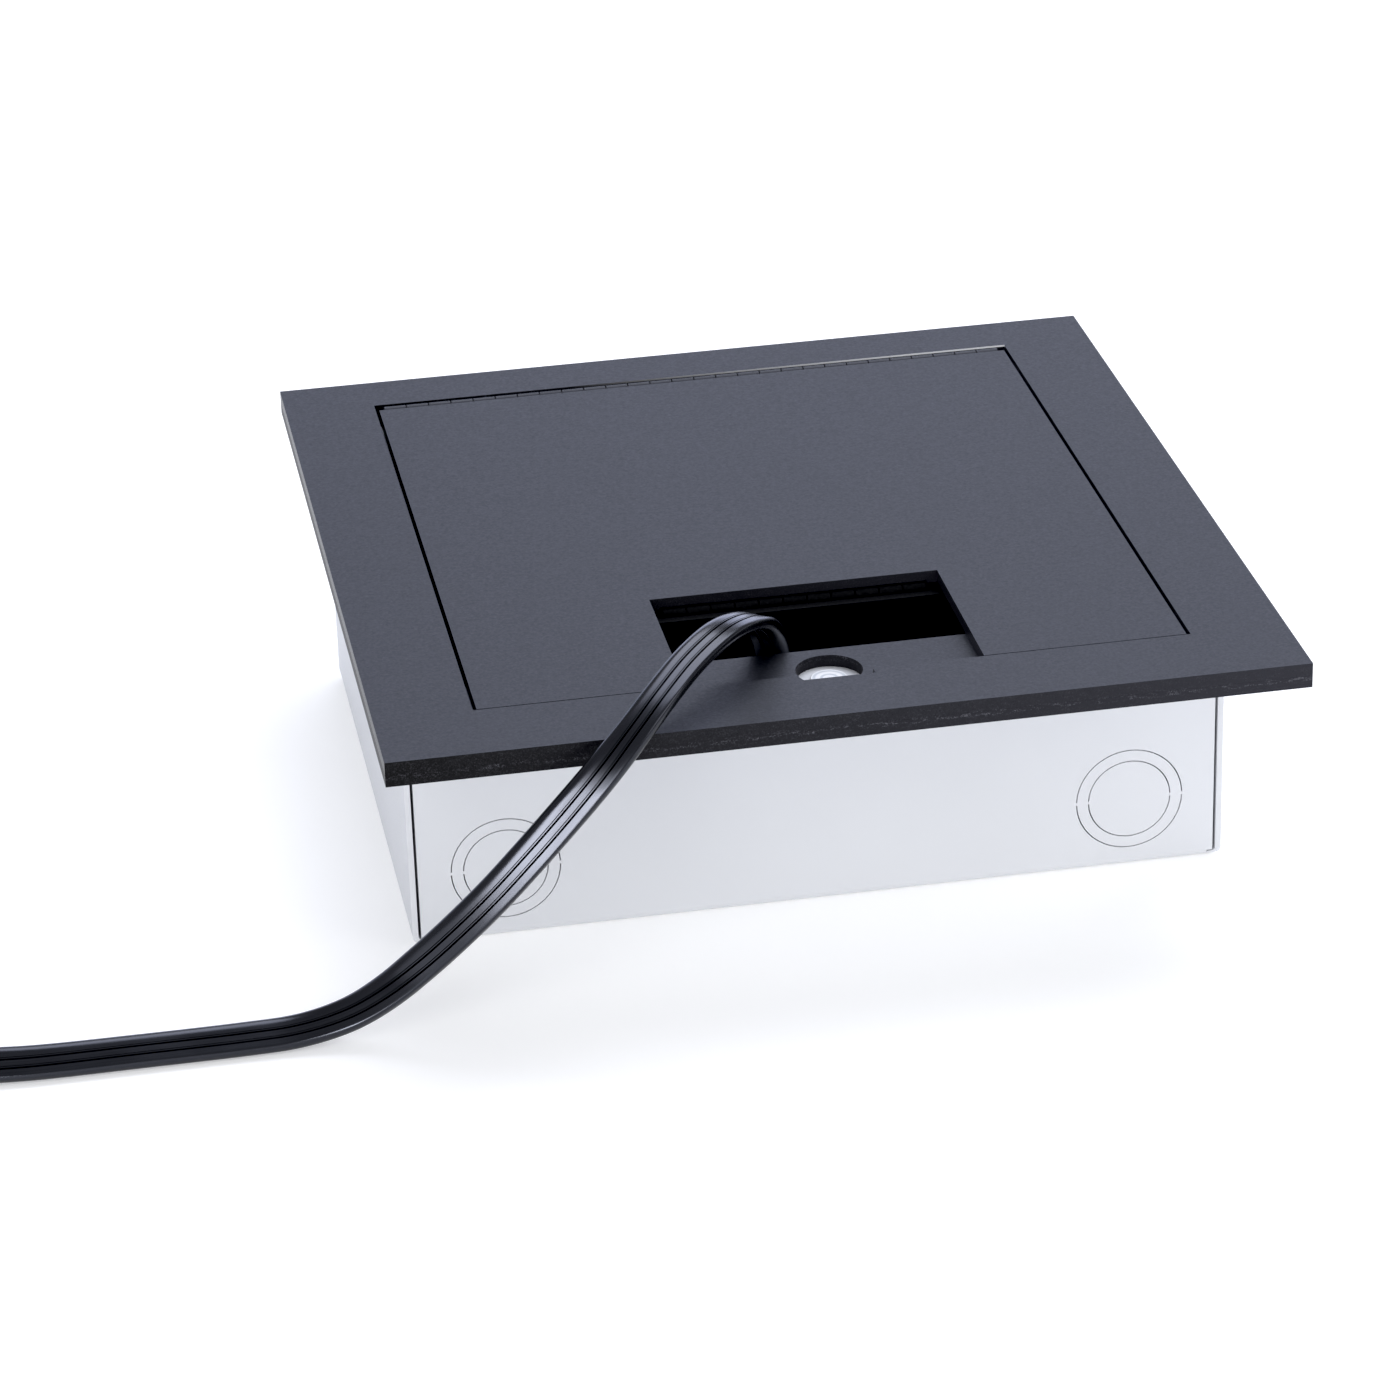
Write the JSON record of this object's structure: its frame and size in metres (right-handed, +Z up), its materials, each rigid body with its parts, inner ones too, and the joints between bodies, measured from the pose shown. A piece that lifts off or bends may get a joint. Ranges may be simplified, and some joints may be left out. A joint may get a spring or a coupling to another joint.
{
  "type": "recessed table box",
  "caption": "Recessed table box: a flush hinged lid with a cable flap in a flat bezel over a folded steel box that holds power outlets, with a flat cord through the notch.",
  "frame": {"origin": "under the middle of the plates, on the underside of the box", "axes": "+Z up through the lid, -Y towards the cable notch and finger hole, +X to the right seen from the notch side"},
  "size_m": [0.4741, 0.2533, 0.0923],
  "materials": {
    "plate_black": "fine textured powder coat",
    "hinge_black": "satin black",
    "box_white": "satin white paint",
    "steel": "zinc plated",
    "device_black": "matte",
    "cord_black": "satin",
    "blade_brass": "plain",
    "ground_green": "green screw"
  },
  "bodies": {
    "frame": {"bezel_plate": "plate_black", "ledge_plate": "plate_black", "plate_screws": "hinge_black", "box_shell": "box_white", "flange_screws": "steel", "catch_disc": "steel", "frame_leaf": "hinge_black", "frame_leaf_rivets": "hinge_black", "lid_hinge_pin": "steel", "device_panel": "hinge_black", "panel_screws": "steel", "outlet_right": "device_black", "outlet_left": "device_black", "blank_plate": "device_black", "blank_screws": "steel", "ground_screw": "ground_green", "plug_body": "cord_black", "plug_blades": "blade_brass", "cord_lead": "cord_black", "cord_coil": "cord_black", "cord_connector": "cord_black", "cord_tie": "cord_black"},
    "lid": {"lid_plate": "plate_black", "lid_leaf": "hinge_black", "lid_leaf_rivets": "hinge_black", "notch_leaf": "hinge_black", "notch_leaf_rivets": "hinge_black", "flap_hinge_pin": "steel"},
    "flap": {"flap_plate": "plate_black", "flap_leaf": "hinge_black", "flap_leaf_rivets": "hinge_black"}
  },
  "joints": [
    {"name": "lid_hinge", "type": "hinge", "parent": "frame", "child": "lid", "pos_m": [0, 0.1006, 0.0756], "axis": [-1, 0, 0], "range_deg": [0, 95]},
    {"name": "flap_hinge", "type": "hinge", "parent": "lid", "child": "flap", "pos_m": [0, -0.04355, 0.0728], "axis": [1, 0, 0], "range_deg": [-8, 85]}
  ]
}
